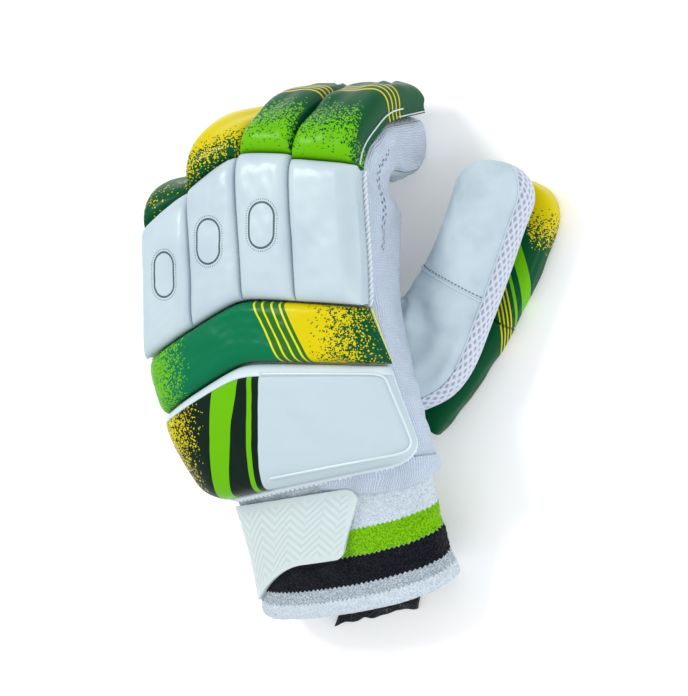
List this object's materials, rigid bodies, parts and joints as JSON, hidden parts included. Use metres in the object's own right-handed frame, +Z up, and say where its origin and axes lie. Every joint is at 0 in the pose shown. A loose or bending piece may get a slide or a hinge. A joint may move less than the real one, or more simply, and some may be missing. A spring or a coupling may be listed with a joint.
{
  "type": "cricket batting glove",
  "caption": "Left-hand batting glove with padded finger rolls, wrist pad, guarded thumb and towelling cuff, lying palm down.",
  "frame": {"origin": "the middle of the flat patch under the cuff, on which the glove rests", "axes": "+X towards the thumb, +Y towards the fingertips, +Z up from the surface that the glove lies on, through the back of the hand"},
  "size_m": [0.1852, 0.2587, 0.0839],
  "materials": {
    "white_pu": "smooth, glossy white coated leather",
    "printed_pu_roll": "glossy coated leather printed lime, yellow and dark green in speckles and stripes",
    "printed_pu_band": "glossy coated leather printed green, yellow and lime in speckles and stripes",
    "printed_pu_wrist": "glossy white coated leather with lime, black and yellow bands",
    "printed_pu_guard": "glossy coated leather printed yellow, lime and dark green",
    "glove_leather": "soft matt white leather",
    "side_knit": "ribbed white knit with a line of eyelets",
    "backing_cloth": "plain white cloth",
    "airmesh": "open white mesh",
    "towelling": "white towelling with knitted bands in lime, black and grey",
    "strap_rubber": "translucent white moulded rubber with a herringbone relief",
    "hook_tape": "black hook tape"
  },
  "bodies": {
    "root": {"backing_hand": "backing_cloth", "backing_index": "backing_cloth", "backing_little": "backing_cloth", "backing_middle": "backing_cloth", "backing_ring": "backing_cloth", "base_pad_index": "white_pu", "base_pad_little": "white_pu", "base_pad_middle": "white_pu", "base_pad_ring": "white_pu", "closure_strap": "strap_rubber", "cuff": "towelling", "finger_front_index": "glove_leather", "finger_front_little": "glove_leather", "finger_front_middle": "glove_leather", "finger_front_ring": "glove_leather", "fourchette_little_ring": "side_knit", "fourchette_middle_index": "side_knit", "fourchette_ring_middle": "side_knit", "hook_tab": "hook_tape", "knuckle_roll": "printed_pu_band", "palm": "glove_leather", "side_gusset_index": "side_knit", "side_gusset_little": "side_knit", "thumb_backing": "backing_cloth", "thumb_front_lower": "glove_leather", "thumb_front_upper": "glove_leather", "thumb_guard_lower": "printed_pu_guard", "thumb_guard_upper": "printed_pu_guard", "thumb_gusset_inner": "airmesh", "thumb_gusset_outer": "airmesh", "tip_roll_index": "printed_pu_roll", "tip_roll_little": "printed_pu_roll", "tip_roll_middle": "printed_pu_roll", "tip_roll_ring": "printed_pu_roll", "wrist_pad": "printed_pu_wrist"}
  },
  "joints": []
}
